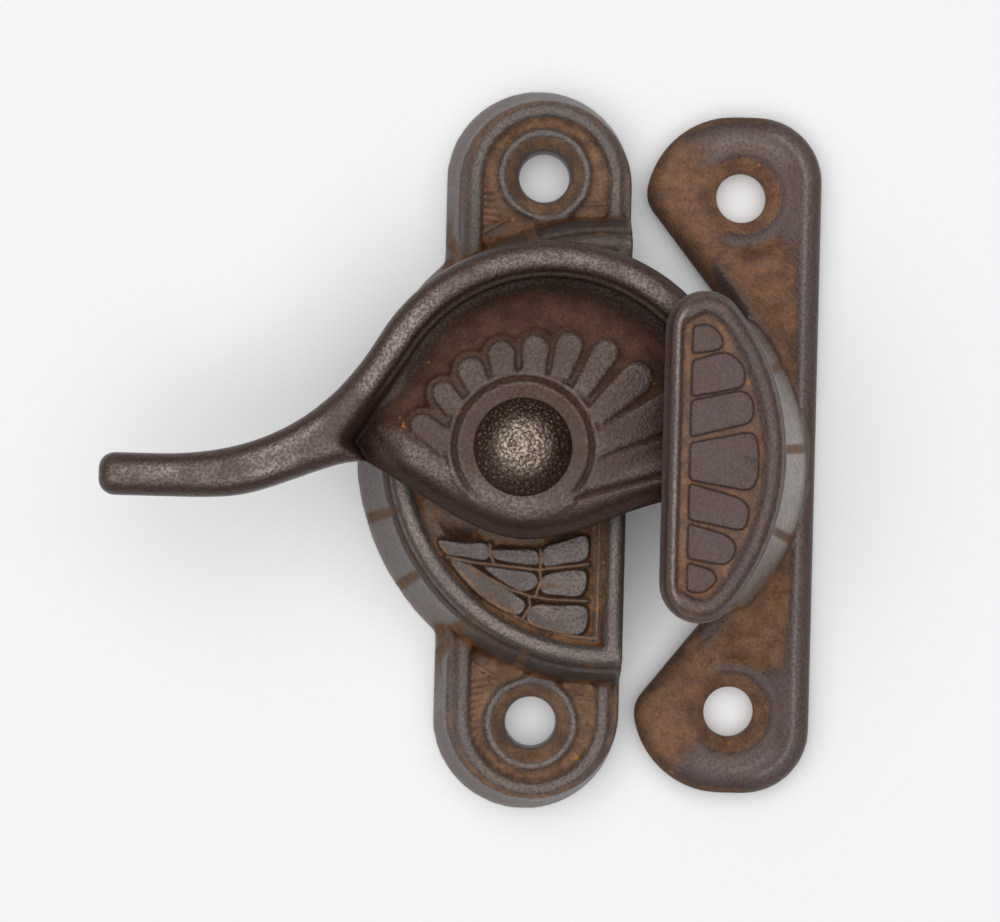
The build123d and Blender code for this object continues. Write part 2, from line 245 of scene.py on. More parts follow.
class NodeBench:
    def __init__(self, name):
        self.material = bpy.data.materials.new(name)
        self.material.use_nodes = True
        self.tree = self.material.node_tree
        self.shader = self.tree.nodes["Principled BSDF"]
        self.place = self.add("ShaderNodeTexCoord").outputs["Object"]

    def add(self, kind, **settings):
        node = self.tree.nodes.new(kind)
        for key, value in settings.items():
            setattr(node, key, value)
        return node

    def feed(self, socket, value):
        if isinstance(value, bpy.types.NodeSocket):
            self.tree.links.new(value, socket)
        else:
            socket.default_value = value

    def noise(self, scale, detail, roughness, offset=0.0):
        node = self.add("ShaderNodeTexNoise", noise_dimensions="3D")
        spot = self.place
        if offset:
            shift = self.add("ShaderNodeVectorMath", operation="ADD")
            self.feed(shift.inputs[0], self.place)
            shift.inputs[1].default_value = (offset, offset * 0.7, offset * 0.3)
            spot = shift.outputs[0]
        self.feed(node.inputs["Vector"], spot)
        node.inputs["Scale"].default_value = scale
        node.inputs["Detail"].default_value = detail
        node.inputs["Roughness"].default_value = roughness
        return node.outputs["Fac"]

    def attribute(self, name):
        return self.add("ShaderNodeAttribute", attribute_name=name).outputs["Fac"]

    def math(self, operation, a, b=0.0, c=0.0):
        node = self.add("ShaderNodeMath", operation=operation)
        for socket, value in zip(node.inputs, (a, b, c)):
            self.feed(socket, value)
        return node.outputs[0]

    def times(self, a, b):
        return self.math("MULTIPLY", a, b)

    def sway(self, cloud, share, value):
        # the value, moved up and down by a cloud of noise
        return self.math("MULTIPLY_ADD", self.math("SUBTRACT", cloud, 0.5), share, value)

    def ramp(self, value, low, high, toLow=0.0, toHigh=1.0):
        node = self.add("ShaderNodeMapRange", interpolation_type="SMOOTHSTEP")
        for socket, number in zip(node.inputs, (value, low, high, toLow, toHigh)):
            self.feed(socket, number)
        return node.outputs[0]

    def mix(self, factor, a, b, blend="MIX"):
        node = self.add("ShaderNodeMix", data_type="RGBA", blend_type=blend)
        for i, value in ((0, factor), (6, a), (7, b)):
            self.feed(node.inputs[i], colour(value) if isinstance(value, str) else value)
        return node.outputs[2]


def colour(code):
    # hexadecimal screen colour to the linear values that the shader takes
    values = [int(code[i:i + 2], 16) / 255 for i in (0, 2, 4)]
    return [v / 12.92 if v <= 0.04045 else ((v + 0.055) / 1.055) ** 2.4 for v in values] + [1.0]


# scale, detail and roughness of the iron's clouds of noise, and how deep the grain goes in metres
ironNoise = {"patch": (140, 5, 0.62), "blotch": (520, 4, 0.6), "grain": (3600, 3, 0.55),
             "pores": (1500, 4, 0.7), "speck": (760, 2, 0.5), "depth": 0.00014}


def agedIron(name, look):
    b = NodeBench(name)
    look = own(look)
    plugs = b.shader.inputs
    patch = b.noise(*ironNoise["patch"], look.seed)
    blotch = b.noise(*ironNoise["blotch"], look.seed + 0.3)
    grain = b.noise(*ironNoise["grain"])
    pores = b.noise(*ironNoise["pores"], 0.2)
    relief = b.attribute("relief")
    edge = b.attribute("edge")
    skin = b.mix(b.ramp(patch, 0.35, 0.68), look.skin, look.skinWarm)
    rust = b.mix(b.ramp(blotch, 0.38, 0.66), look.rust, look.rustBright)
    sunk = b.ramp(relief, look.rustFrom, look.rustTo)
    uneven = b.sway(blotch, look.rustSpread, look.rustBase)
    rustMask = b.ramp(b.math("ADD", sunk, uneven), 0.15, 0.9)
    tone = b.mix(rustMask, skin, rust)
    # rust where the stain map asks for it, broken up by patches
    stain = b.sway(patch, 0.8, b.attribute("stain"))
    stain = b.sway(blotch, 0.7, stain)
    stain = b.ramp(stain, 0.1, 0.9)
    stained = b.mix(b.ramp(blotch, 0.36, 0.66), look.stain, look.stainBright)
    tone = b.mix(b.times(stain, 0.92), tone, stained)
    dull = b.math("MAXIMUM", rustMask, stain)
    # painted shade: darker in creases and wherever the painted shade map asks for it
    crease = b.times(b.ramp(edge, -0.012, -0.06), look.creased)
    crease = b.math("MAXIMUM", crease, b.attribute("paintedShade"))
    tone = b.mix(crease, tone, look.crease)
    # bare metal on edges and where hands rub, lightened by a painted highlight where the highlight map asks
    # for it, broken up by patches and grain
    worn = b.times(b.ramp(edge, 0.010, 0.05), look.wear)
    litAndRubbed = b.times(b.attribute("polish"), b.ramp(relief, -0.04, 0.14))
    worn = b.math("MAXIMUM", worn, b.times(litAndRubbed, look.polish))
    worn = b.times(worn, b.ramp(patch, 0.37, 0.6, look.patchy, 1.1))
    worn = b.times(worn, b.ramp(grain, 0.38, 0.62, look.sparkle, 1.15))
    worn = b.times(worn, b.math("MULTIPLY_ADD", stain, -0.75, 1.0))
    tone = b.mix(worn, tone, look.worn)
    speck = b.ramp(b.noise(*ironNoise["speck"], look.seed + 0.9), 0.70, 0.76)
    speck = b.times(speck, b.ramp(dull, 0.1, 0.6))
    tone = b.mix(b.times(speck, 0.8), tone, look.speck)
    dark = b.ramp(grain, 0.3, 0.62, 0.78, 1.1)
    b.feed(plugs["Base Color"], b.mix(1.0, tone, dark, "MULTIPLY"))
    rough = b.math("MULTIPLY_ADD", dull, look.rustRough - look.rough, look.rough)
    rough = b.math("MULTIPLY_ADD", worn, -0.12, rough)
    rough = b.sway(pores, 0.25, rough)
    b.feed(plugs["Roughness"], rough)
    shine = b.times(b.ramp(dull, 0.0, 1.0, look.shine, 0.1), b.ramp(crease, 0.0, 1.0, 1.0, 0.1))
    plugs["Specular IOR Level"].default_value = look.shine * 0.6
    b.feed(plugs["Specular IOR Level"], shine)
    plain = b.math("MULTIPLY_ADD", dull, -look.metal, look.metal)
    b.feed(plugs["Metallic"], b.math("MULTIPLY_ADD", worn, look.wornMetal, plain))
    bump = b.add("ShaderNodeBump")
    bump.inputs["Strength"].default_value = look.grain
    bump.inputs["Distance"].default_value = ironNoise["depth"]
    b.feed(bump.inputs["Height"], b.math("MULTIPLY_ADD", pores, 0.6, grain))
    b.feed(plugs["Normal"], bump.outputs[0])
    return b.material


baseLook = {
    "seed": 1.0, "skin": "57504e", "skinWarm": "54443c", "rust": "4c3120", "rustBright": "6c4729",
    "stain": "6a4f3e", "stainBright": "84644d",
    "crease": "1c110c", "worn": "7c726d", "speck": "b06c2c", "wear": 0.45, "rough": 0.37, "rustRough": 0.62,
    "rustFrom": 0.05, "rustTo": -0.16, "rustSpread": 0.7, "rustBase": 0.05, "metal": 0.2, "grain": 0.75,
    "polish": 0.8, "wornMetal": 0.65, "creased": 0.7, "shine": 0.3, "patchy": 0.65, "sparkle": 0.7,
}
leverLook = dict(baseLook, seed=3.0, skin="4a3830", skinWarm="452f26", rust="4a2e21", rustBright="5e3a28",
                 stain="432c24", stainBright="563b30", crease="160c08", rough=0.3, rustSpread=0.4, wear=0.3,
                 creased=0.35, worn="8a807b", polish=0.75, shine=0.35, patchy=0.3, sparkle=0.5)
keeperLook = dict(baseLook, seed=5.0, skin="574947", skinWarm="56433c", rust="573b28", rustBright="724d2d",
                  stain="6d5040", stainBright="88644b", rough=0.36, worn="b0a7a1")
rivetLook = dict(baseLook, seed=7.0, skin="33221a", skinWarm="3c2a20", rust="2a1910", rustBright="362114",
                 worn="b2a192", rough=0.16, metal=0.3, grain=1.0, polish=1.0, wornMetal=0.7, sparkle=0.3)


def inFoot(face, level):
    return face.normal.z < bench["facingDown"] and abs(face.center.z - level) < bench["levelSlack"]


def footLines(obj, level, holes, holeRadius):
    # the straight bits that bound the flat underside of a casting, without those round its holes
    uses = {}
    for face in obj.data.polygons:
        if inFoot(face, level):
            for key in face.edge_keys:
                uses[key] = uses.get(key, 0) + 1
    lines = []
    for key, count in uses.items():
        a, b = (obj.data.vertices[i].co for i in key)
        if count == 1 and all(math.dist(a.xy, hole) > holeRadius for hole in holes):
            lines.append((a.xy[:], b.xy[:]))
    return np.array(lines)


def lineBits(points):
    return np.array([(a, b) for a, b in zip(points, points[1:])], float)


def awayFrom(spots, lines):
    # distance in plan from every spot to the nearest line bit
    best = np.full(len(spots), 1e9)
    for a, b in lines:
        along = b - a
        share = np.clip((spots[:, :2] - a) @ along / max(along @ along, 1e-9), 0, 1)
        gap = spots[:, :2] - a - share[:, None] * along
        best = np.minimum(best, np.einsum("ij,ij->i", gap, gap))
    return np.sqrt(best)


def insideLoop(spots, loop):
    inside = np.zeros(len(spots), bool)
    x, y = spots[:, 0], spots[:, 1]
    for (x1, y1), (x2, y2) in zip(loop, loop[1:] + loop[:1]):
        crosses = (y1 > y) != (y2 > y)
        with np.errstate(divide="ignore", invalid="ignore"):
            inside ^= crosses & (x < (x2 - x1) * (y - y1) / (y2 - y1) + x1)
    return inside


def ease(value, low, high):
    t = np.clip((value - low) / (high - low), 0, 1)
    return t * t * (3 - 2 * t)


def fade(value, limits):
    return 1 - ease(value, *limits)


def band(value, rise, fall):
    # 1 between the two slopes, 0 outside them
    return ease(value, *rise) * fade(value, fall)


def most(*fields):
    return np.max(fields, axis=0)


def between(value, limits):
    return (value > limits[0]) & (value < limits[1])


def flatAt(spots, normals, level, slack, up):
    return (np.abs(spots[:, 2] - level) < slack) & (normals[:, 2] > up)


def planReach(spots, centre):
    return np.hypot(spots[:, 0] - centre[0], spots[:, 1] - centre[1])


def planTurn(spots, centre):
    # degrees anticlockwise from the right, seen from above
    return np.degrees(np.arctan2(spots[:, 1] - centre[1], spots[:, 0] - centre[0]))


def swell(distance, width):
    # 1 on the line, falling softly to 0 over about twice the width
    return np.exp(-((distance / width) ** 2))


def openWithFaces(obj, chosen):
    # goes into edit mode with just the chosen faces selected
    pick(obj)
    setMode("EDIT")
    bpy.ops.mesh.select_mode(type="FACE")
    selectAll("DESELECT")
    setMode("OBJECT")
    obj.data.polygons.foreach_set("select", chosen)
    setMode("EDIT")


def refine(obj, choose):
    # finer faces where ornament is to be raised; choose tells by middle and normal which ones
    faces = obj.data.polygons
    openWithFaces(obj, choose(readAll(faces, "center"), readAll(faces, "normal")))
    bpy.ops.mesh.subdivide(number_cuts=1)
    setMode("OBJECT")


def slabFromFoot(piece, level, height):
    # keep the flat underside only and raise it again as a plain slab of the same outline
    openWithFaces(piece, [not inFoot(face, level) for face in piece.data.polygons])
    bpy.ops.mesh.delete(type="FACE")
    selectAll()
    bpy.ops.mesh.extrude_region_move(TRANSFORM_OT_translate={"value": (0, 0, height)})
    selectAll()
    bpy.ops.mesh.normals_make_consistent(inside=False)
    setMode("OBJECT")


def raisedCells(spots, loops, soft):
    # 1 on the cells, 0 beside them, with a slope of the given half width at their edges
    field = np.zeros(len(spots))
    for loop in loops:
        corners = np.array(loop)
        near = np.all((spots[:, :2] > corners.min(0) - 1) & (spots[:, :2] < corners.max(0) + 1), axis=1)
        local = spots[near]
        away = awayFrom(local, lineBits(loop + loop[:1]))
        inward = np.where(insideLoop(local, loop), away, -away)
        field[near] = np.maximum(field[near], ease(inward, -soft, soft))
    return field


def roundOff(distance, radius):
    # how far a rounded edge of this radius lies below its crown
    t = 1 - np.clip(distance / radius, 0, 1)
    return radius * (1 - np.sqrt(np.maximum(1 - t * t, 0)))


def moveTo(obj, spots):
    obj.data.vertices.foreach_set("co", np.ascontiguousarray(spots, np.float64).ravel())
    obj.data.update()


# base casting

baseParts = {
    "firstVoxel": 0.26, "voxel": 0.17, "smoothSteps": 2, "triangles": 160000,
    "panel": 8.45, "cellRise": 0.5, "veinRise": 0.5, "lineRise": 0.3, "vein": 0.26, "cellSoft": 0.12,
    "drumCentre": (6.3, 0.0), "drumTurn": 17.5, "grooveWidth": 1.0, "grooveDepth": 0.09,
    "skirtLean": (0.05, 0.75), "skirtLevels": (0.3, 7.4), "skirtReach": (20.6, 25.0),
    "panelSlack": 0.15, "panelFrom": 6.0, "panelReach": 18.6, "panelRight": 6.6,
    # feather cells of the lower half, mirrored for the upper half
    "cells": [
        [(-9.2, -8.9), (-6.9, -9.1), (-4.65, -9.1), (-4.55, -10.65), (-6.8, -10.5), (-8.6, -10.15)],
        [(-4.0, -9.65), (-2.0, -9.6), (0.05, -9.65), (0.25, -11.0), (-2.0, -10.95), (-3.9, -10.55)],
        [(0.8, -9.4), (2.7, -8.65), (4.75, -8.15), (4.85, -10.3), (2.8, -10.85), (0.8, -11.1)],
        [(-4.85, -11.35), (-2.3, -11.5), (-0.1, -11.8), (0.3, -12.85), (-0.9, -13.6), (-2.7, -13.0)],
        [(0.75, -12.1), (2.6, -11.5), (4.65, -11.45), (4.9, -12.7), (4.3, -13.85), (2.4, -13.9),
         (0.65, -13.6)],
        [(-8.1, -10.85), (-6.3, -11.1), (-4.25, -12.45), (-2.1, -13.65), (-0.8, -14.7), (-1.6, -15.85),
         (-4.0, -14.9), (-6.35, -13.05)],
        [(-0.15, -14.85), (2.2, -14.75), (4.75, -14.8), (5.1, -16.2), (4.4, -17.45), (2.0, -17.35),
         (-0.6, -16.5)],
    ],
    "veins": [
        [(-8.3, -10.5), (-5.6, -10.98), (-3.8, -11.1), (0.2, -11.48), (2.4, -11.2), (4.9, -10.85)],
        [(-6.3, -11.2), (-4.35, -12.35), (-2.3, -13.42), (-0.35, -14.0), (1.5, -14.25), (4.9, -14.32)],
        [(-4.3, -9.2), (-4.25, -10.3), (-3.8, -11.1)],
        [(0.45, -9.6), (0.55, -10.6), (0.45, -11.45)],
        [(0.45, -11.6), (0.55, -12.6), (0.1, -13.9)],
        [(-0.5, -14.1), (-0.4, -14.9), (-1.05, -16.1)],
    ],
    # thin line that follows the bead round the panel
    "lineRadius": 17.85, "lineFrom": 212, "lineTo": 266, "lineFace": 5.95,
    "tabHole": 26.35, "tabFloor": 3.7, "tabSlack": 0.2, "tabSpan": (20.0, 28.5),
    # strokes on the upper and the lower tab
    "hatchCounts": ((1, 5), (-1, 8)), "hatch": 0.17, "hatchRise": 0.2, "hatchFirst": 22.2, "hatchStep": 0.66,
    "hatchLeft": -5.9, "hatchReach": 5.2, "hatchShort": -4.2, "hatchLift": 0.05,
    "panelEnds": [[(-5.95, 20.6), (-4.6, 21.4), (-3.35, 22.1)], [(4.25, 23.65), (6.05, 23.85)]],
    # where rust, painted shade and painted highlight lie, each from nothing to full over the two values of a
    # pair
    "tabStart": (19.0, 22.0), "tabLevels": ((2.4, 3.2), (4.1, 4.35)), "tabBand": (7.0, 7.4),
    "tabBandClean": 0.6, "floorLevels": ((8.0, 8.3), (8.6, 8.9)), "veinCore": (0.1, 0.2),
    "veinSide": ((0.12, 0.22), (0.4, 0.6)), "skirtSlope": ((0.0, 0.15), (0.55, 0.8)),
    "grooveCore": (0.25, 0.8), "grooveStart": (0.3, 1.0), "grooveSpan": 21.0, "facingUp": (0.3, 0.8),
    "tabRust": 0.85, "floorRust": 0.35, "grooveRust": 0.9, "flankStart": (7.0, 7.6),
    "flankSlope": ((0.05, 0.2), (0.6, 0.9)), "shadeFrom": (-7.0, 0.0),
    "shadeStart": (4.4, 5.2), "veinSoot": 0.42, "flankSoot": 0.45, "shadeSoot": 0.35, "grooveSoot": 0.25,
    "crestStart": (8.95, 9.1), "crestSlope": (0.8, 0.96), "crestEnd": (4.0, 10.0),
    "tabBeadLevels": ((4.22, 4.36), (4.6, 4.9)), "skirtShine": 0.75, "crestShine": 0.9, "tabBeadShine": 0.5,
}


def panelLine():
    its = own(baseParts)
    x, y = its.drumCentre
    turns = np.radians(np.linspace(its.lineFrom, its.lineTo, 14))
    return [(x + its.lineRadius * math.cos(t), y + its.lineRadius * math.sin(t)) for t in turns]


def besideGroove(spots):
    # distance along the drum's skirt to the nearest groove
    its = own(baseParts)
    turn = 180 - np.abs(planTurn(spots, its.drumCentre))
    nearTurn = np.abs((turn + its.drumTurn / 2) % its.drumTurn - its.drumTurn / 2)
    return np.radians(nearTurn) * planReach(spots, its.drumCentre)


def onPanel(middles, normals):
    its = own(baseParts)
    flat = flatAt(middles, normals, its.panel, its.panelSlack, 0.9)
    inside = (planReach(middles, its.drumCentre) < its.panelReach) & (middles[:, 0] < its.panelRight)
    return flat & inside & (np.abs(middles[:, 1]) > its.panelFrom)


def onTabFloor(middles, normals):
    its = own(baseParts)
    flat = flatAt(middles, normals, its.tabFloor, its.tabSlack, 0.85)
    return flat & between(np.abs(middles[:, 1]), its.tabSpan)


def tabStrokes():
    # short hatch strokes in the tabs' panels, left of the screws, and the panels' ends
    its = own(baseParts)
    strokes = []
    for side, count in its.hatchCounts:
        for i in range(count):
            y = its.hatchFirst + i * its.hatchStep
            inner = its.hatchShort
            if i > 1:
                inner = -math.sqrt(max(its.hatchReach ** 2 - (y - its.tabHole) ** 2, 0))
            lift = its.hatchLift * (count - i)
            strokes.append(((its.hatchLeft, side * y), (inner, side * (y - lift))))
        for line in its.panelEnds:
            ends = [(x, side * y) for x, y in line]
            strokes += list(zip(ends, ends[1:]))
    return np.array(strokes)


def makeBase():
    its = own(baseParts)
    piece = castingCopy("base", "baseCasting")
    melt(piece, its.firstVoxel, its.smoothSteps)
    spots, normals = surfaceOf(piece)
    onDrum = between(normals[:, 2], its.skirtLean) & between(spots[:, 2], its.skirtLevels)
    onDrum &= between(planReach(spots, its.drumCentre), its.skirtReach)
    width = its.grooveWidth
    depth = its.grooveDepth * (1 - ease(besideGroove(spots), width / 2, width))
    spots -= normals * (depth * onDrum)[:, None]
    moveTo(piece, spots)
    melt(piece, its.voxel, its.smoothSteps)
    refine(piece, lambda middles, normals: onPanel(middles, normals) | onTabFloor(middles, normals))
    spots, normals = surfaceOf(piece)
    flat = onPanel(spots, normals)
    fromStroke = awayFrom(spots, tabStrokes())
    spots[:, 2] += its.hatchRise * swell(fromStroke, its.hatch) * onTabFloor(spots, normals)
    border = panelLine()
    upright = [border[-1], (its.lineFace, border[-1][1]), (its.lineFace, -its.panelFrom)]
    loops = []
    veins = []
    for side in (1, -1):
        loops += [smoothLoop([(x, side * y) for x, y in cell]) for cell in its.cells]
        veins += [lineBits([(x, side * y) for x, y in vein]) for vein in its.veins]
    lines = np.concatenate([lineBits([(x, side * y) for x, y in border + upright]) for side in (1, -1)])
    fromVein = awayFrom(spots, np.concatenate(veins))
    fromLine = awayFrom(spots, lines)
    cells = raisedCells(spots, loops, its.cellSoft)
    height = np.maximum(its.cellRise * cells, its.veinRise * swell(fromVein, its.vein))
    height = np.maximum(height, its.lineRise * swell(fromLine, its.vein))
    spots[:, 2] += height * flat
    moveTo(piece, spots)
    maps = reliefMaps(piece)
    spots, normals = surfaceOf(piece)
    level, up, aside = spots[:, 2], normals[:, 2], np.abs(spots[:, 1])
    onTab = ease(aside, *its.tabStart) * band(level, *its.tabLevels)
    pastHole = np.maximum(aside - its.tabHole, 0)
    onTab *= 1 - its.tabBandClean * ease(np.hypot(spots[:, 0], pastHole), *its.tabBand)
    onFloor = band(level, *its.floorLevels) * (1 - cells)
    onVein = fade(np.minimum(fromVein, fromLine), its.veinCore) * flat
    beside = band(fromVein, *its.veinSide) * (1 - cells) * flat
    onSkirt = band(up, *its.skirtSlope)
    inGroove = fade(besideGroove(spots), its.grooveCore) * onSkirt * ease(level, *its.grooveStart)
    inGroove *= aside < its.grooveSpan
    stain = np.maximum(its.tabRust * onTab, its.floorRust * onFloor) * ease(up, *its.facingUp)
    maps["stain"] = most(stain, onVein, its.grooveRust * inGroove)
    # painted shade on the bead's steep flanks, in the gaps beside the veins and in the skirt's grooves, and
    # a painted shadow on the skirt's right part
    flank = ease(level, *its.flankStart) * band(up, *its.flankSlope)
    shaded = ease(spots[:, 0], *its.shadeFrom) * onSkirt * ease(level, *its.shadeStart)
    maps["paintedShade"] = most(its.veinSoot * beside, its.flankSoot * flank, its.shadeSoot * shaded,
                        its.grooveSoot * inGroove)
    # painted highlight on the drum bead's crest and on the tabs' bead, and a painted reflection on the
    # skirt, along with wear
    crest = ease(level, *its.crestStart) * ease(up, *its.crestSlope)
    crest *= fade(spots[:, 1], its.crestEnd)
    tabBead = band(level, *its.tabBeadLevels) * (aside > its.tabSpan[0])
    maps["polish"] = most(its.skirtShine * onSkirt * (1 - shaded), its.crestShine * crest,
                          its.tabBeadShine * tabBead)
    thinOut(piece, maps, its.triangles)
    finishPiece(piece, "base", "cast_iron", agedIron("baseIron", baseLook), "base")


# lever casting

leverParts = {
    "firstVoxel": 0.2, "voxel": 0.16, "smoothSteps": 5, "triangles": 140000,
    "pivot": (-1.5, 0.0), "holeSkip": 3.0, "foot": 9.7, "slab": 6.5,
    "rimCentre": (1.0, 0.7), "rimInner": 15.05, "rimEnd": -17, "rimStart": 150, "rimSteps": 60,
    "dishCorner": (-17.5, 0.2), "crotch": (-16.2, -1.7), "dishBelow": -12.0, "dishPast": 1.0,
    "barTop": 15.2, "barRound": 1.9, "handleUnder": 1.7, "under": 0.5, "handleFrom": (-19.0, -13.0),
    "bowl": 12.05, "bowlDrop": 1.15, "bowlReach": 2.0,
    "lidTop": 13.1, "lidRound": 3.9, "lidDepth": 2.9, "lidEnd": (3.2, 5.8),
    "lidSlope": 0.035, "lidSlopeFrom": 6.0, "tongueSlope": 0.4, "tongueFrom": -12.5,
    "hubEnd": (7.0, 7.5), "hubTop": 13.25, "hubOverLid": 0.1, "hubSlope": 0.12, "hubSlopeFrom": 1.2,
    "hubGroove": 6.4, "hubGrooveWidth": 0.25, "hubGrooveDepth": 0.38, "hubGrooveOpen": (32, 60),
    "cutAbove": 11.5, "padTop": 13.3, "padFrom": 7.0, "padFall": 0.16, "stepDown": 0.36, "stepOut": 0.6,
    "cellRound": 0.3, "padFoot": 10.4, "stepFoot": 10.3, "stepBack": 0.8,
    # root, tip, root width, tip width of each petal in the fan
    "petals": [
        ((-8.25, -0.2), (-11.9, 2.45), 2.7, 2.4), ((-7.75, 3.25), (-9.75, 5.75), 2.2, 2.3),
        ((-5.9, 5.5), (-7.0, 8.2), 2.2, 2.7), ((-3.5, 6.8), (-3.9, 9.9), 2.2, 2.7),
        ((-0.65, 7.0), (-0.5, 10.55), 2.3, 2.7), ((1.7, 6.5), (2.95, 10.85), 1.9, 2.7),
        ((3.65, 5.05), (6.65, 10.15), 1.8, 2.6), ((4.9, 2.8), (10.1, 7.8), 2.2, 3.1),
        ((5.2, 0.25), (14.2, 5.0), 2.4, 3.7), ((4.5, -2.75), (14.6, 0.4), 2.6, 3.5),
    ],
    # groove between the last petal and the lid
    "lidLine": [(3.6, -4.6), (8.0, -3.3), (13.0, -1.85)], "lidLineDepth": 0.4, "lidLineWidth": 0.3,
    # where rust, painted shade and painted highlight lie
    "petalSoft": 0.35, "petalStart": (0.1, 0.4), "deepEnd": (0.25, 1.1), "deepIn": (2.6, 4.2),
    "ringEnd": (5.6, 6.2), "ringFrom": (-4.0, -1.0), "dishRust": 0.95, "creaseRust": 0.7, "ringRust": 0.45,
    "rimShade": (0.0, 3.4), "rimShadeIn": 3.0, "rimShadeLeft": (4.0, 10.0), "rimSoot": 0.75,
    "rimSootLeft": 0.25, "underCap": (8.5, 13.0), "underCapIn": 2.0, "underCapSoot": 0.55,
    "leftEnd": (12.5, 16.5), "leftSoot": 0.75,
    "bellyEnd": (0.6, 2.4), "bellySoot": 0.6, "innerSide": (0.7, 1.7), "innerSoot": 0.6,
    "outerSide": (0.3, 1.2), "outerSoot": 0.3, "lipIn": 0.3, "lipWidth": 0.14, "lipFrom": (3.0, 8.0),
    "lipRelief": 0.12, "barStart": (14.4, 15.1), "barIn": (0.6, 1.4),
    "rimGlints": ((80, 24, 1.0), (150, 26, 0.85)), "handleGlint": (17, 21), "glintLow": 0.5,
    "glintRise": 0.6, "crownStart": (1.5, 2.3), "lidBandEnd": (3.4, 4.6), "lidBandLeft": (11.5, 15.0),
    "lidBandRelief": 0.1, "crownShine": 0.35, "lidBandShine": 0.6, "plainEdge": 1.6,
}


def rimSpot(radius, angle):
    x, y = leverParts["rimCentre"]
    return (x + radius * math.cos(math.radians(angle)), y + radius * math.sin(math.radians(angle)))


def leverHeights(spots, outline):
    its = own(leverParts)
    across = spots[:, 0]
    arc = [rimSpot(its.rimInner, a) for a in np.linspace(its.rimEnd, its.rimStart, its.rimSteps)]
    dishEdge = arc + [its.dishCorner, its.crotch]
    low = its.dishBelow
    inDish = insideLoop(spots, dishEdge + [(its.crotch[0], low), (arc[0][0] + its.dishPast, low)])
    fromRim = awayFrom(spots, lineBits(dishEdge))
    fromOutline = awayFrom(spots, outline)
    barEdge = np.minimum(fromRim, fromOutline)
    bar = its.barTop - roundOff(barEdge, its.barRound)
    bowl = its.bowl - its.bowlDrop * np.exp(-fromRim / its.bowlReach)
    lid = its.lidTop - roundOff(fromOutline, its.lidRound) * its.lidDepth / its.lidRound
    lid -= its.lidSlope * np.maximum(np.abs(across - its.pivot[0]) - its.lidSlopeFrom, 0)
    lid -= its.tongueSlope * np.maximum(its.tongueFrom - across, 0)
    lidHold = fade(fromOutline, its.lidEnd)
    reach = planReach(spots, its.pivot)
    hubHold = fade(reach, its.hubEnd)
    hub = lid + its.hubSlope * np.maximum(fromOutline - its.hubSlopeFrom, 0) + its.hubOverLid
    hub = np.minimum(its.hubTop, hub)
    around = ease(np.abs(planTurn(spots, its.pivot) + 90), *its.hubGrooveOpen)
    cut = swell(reach - its.hubGroove, its.hubGrooveWidth) * around
    dish = bowl + (np.maximum(lid, bowl) - bowl) * lidHold
    dish = np.where(hubHold > 0, np.maximum(dish, bowl + (hub - bowl) * hubHold), dish)
    top = np.where(inDish, dish, bar)
    handleHold = fade(across, its.handleFrom)
    underRound = its.under + (its.handleUnder - its.under) * handleHold
    foot = its.foot + roundOff(fromOutline, underRound)
    return SimpleNamespace(foot=foot, top=top, inDish=inDish, bowl=bowl, fromRim=fromRim, cut=cut,
                           fromOutline=fromOutline, barEdge=barEdge)


def padHeight(x, y):
    its = own(leverParts)
    reach = math.hypot(x - its.pivot[0], y - its.pivot[1])
    return its.padTop - max(reach - its.padFrom, 0) * its.padFall


def stepHeight(x, y):
    return padHeight(x, y) - leverParts["stepDown"]


def leverPetals():
    # each petal stands on a wider, lower one of its own form
    its = own(leverParts)
    extras = []
    for root, tip, rootWidth, tipWidth in its.petals:
        petal = tongueOutline(root, tip, rootWidth, tipWidth)
        extras.append(pad(petal, its.padFoot, its.padTop, its.cellRound, padHeight))
        along = (Vector(tip) - Vector(root)).normalized()
        far = Vector(tip) + along * its.stepOut
        near = Vector(root) - along * its.stepBack
        grown = 2 * its.stepOut
        step = tongueOutline(near, far, rootWidth + grown, tipWidth + grown)
        stepTop = its.padTop - its.stepDown
        extras.append(pad(step, its.stepFoot, stepTop, its.cellRound, stepHeight))
    return extras


